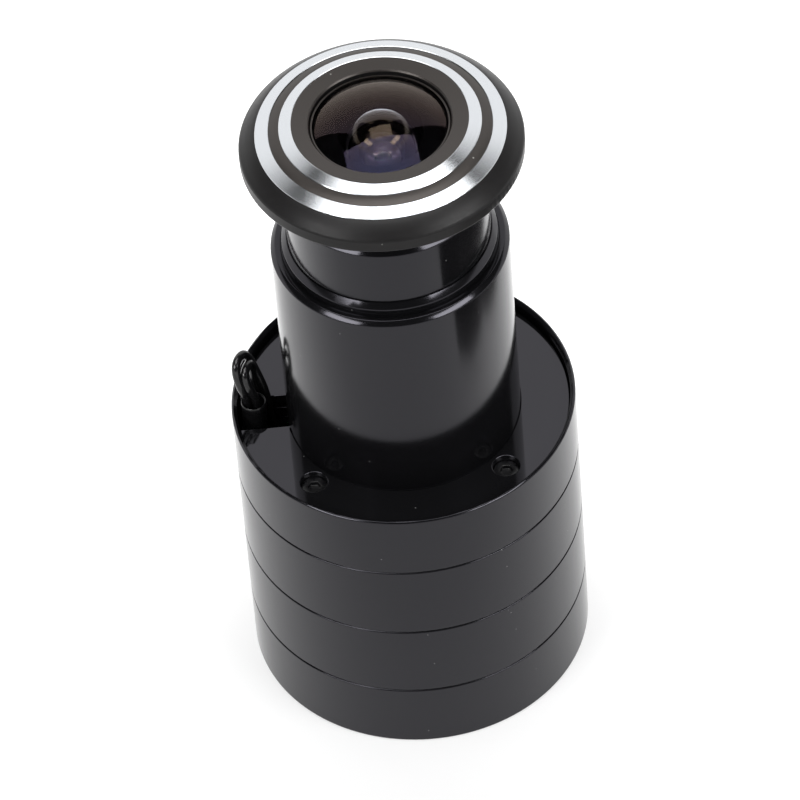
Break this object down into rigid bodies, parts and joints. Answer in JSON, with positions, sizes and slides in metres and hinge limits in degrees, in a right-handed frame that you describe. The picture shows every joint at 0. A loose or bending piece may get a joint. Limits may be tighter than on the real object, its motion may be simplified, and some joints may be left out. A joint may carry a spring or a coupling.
{
  "type": "door viewer camera",
  "caption": "Door viewer camera: grooved round housing, door tube, and a screw-in neck with a fisheye lens in a ringed bezel.",
  "frame": {"origin": "centre of the rear cap's flat face, on the turning axis", "axes": "+Z out through the door tube to the lens; the lead slot is on -X; +Y is away from the front view"},
  "size_m": [0.038, 0.038, 0.081],
  "materials": {
    "black_anodised": "turned, gloss black anodised",
    "polished_black": "polished, gloss black anodised",
    "matte_black_metal": "fine matte black coat",
    "bright_cut_ring": "bright turned",
    "black_steel": "black oxide",
    "plain_steel": "plain",
    "plain_brass": "plated",
    "black_plastic": "matte",
    "grey_aluminium": "machined",
    "black_rubber": "smooth",
    "wire_cover": "gloss black",
    "green_board": "solder mask",
    "chip_body": "moulded",
    "connector_white": "moulded",
    "can_aluminium": "plain can",
    "ferrite": "sintered",
    "flat_cable": "amber film",
    "coated_glass": "coated",
    "filter_glass": "coated",
    "sensor_glass": "glossy"
  },
  "bodies": {
    "root": {"rear_cap": "black_anodised", "cap_seal": "black_rubber", "housing_shell": "black_anodised", "front_plate": "polished_black", "plate_screws": "black_steel", "door_tube": "black_anodised", "guide_bush": "black_anodised", "lead_sleeve": "black_rubber", "lead_wires": "wire_cover", "main_board": "green_board", "processor_chip": "chip_body", "memory_chip": "chip_body", "clock_crystal": "plain_steel", "board_capacitors": "can_aluminium", "flex_connector": "connector_white", "power_board": "green_board", "power_chip": "chip_body", "power_inductor": "ferrite", "link_header": "chip_body", "upper_standoffs": "plain_brass", "lower_standoffs": "plain_brass", "board_screws": "plain_steel", "rear_socket": "black_plastic", "socket_pins": "plain_brass", "socket_lead": "wire_cover", "flex_cable": "flat_cable"},
    "camera_module": {"lens_carriage": "grey_aluminium", "carriage_circlip": "plain_steel", "flex_plug": "connector_white", "sensor_board": "green_board", "image_sensor": "sensor_glass", "holder_screws": "plain_steel", "lens_holder": "black_plastic", "module_clamp_ring": "grey_aluminium", "infrared_filter": "filter_glass", "lens_barrel": "matte_black_metal", "lens_seal": "black_rubber", "focus_lock_ring": "matte_black_metal", "front_lens": "coated_glass", "lens_spacer_ring": "matte_black_metal", "second_lens": "coated_glass", "middle_lens": "coated_glass", "aperture_stop": "matte_black_metal", "rear_lens": "coated_glass"},
    "screw_head": {"neck_barrel": "black_anodised", "bezel": "matte_black_metal", "outer_trim_ring": "bright_cut_ring", "inner_trim_ring": "bright_cut_ring"}
  },
  "joints": [
    {"name": "head_travel", "type": "slide", "parent": "root", "child": "camera_module", "axis": [0, 0, 1], "range_m": [-0.009, 0.009], "deforming": ["flex_cable"]},
    {"name": "head_turn", "type": "hinge", "parent": "camera_module", "child": "screw_head", "pos_m": [0, 0, 0.07], "axis": [0, 0, 1], "range_deg": [-2160, 2160]}
  ],
  "couplings": [
    {"joint": "head_turn", "follows": "head_travel", "rad_per_m": 4188.8}
  ]
}
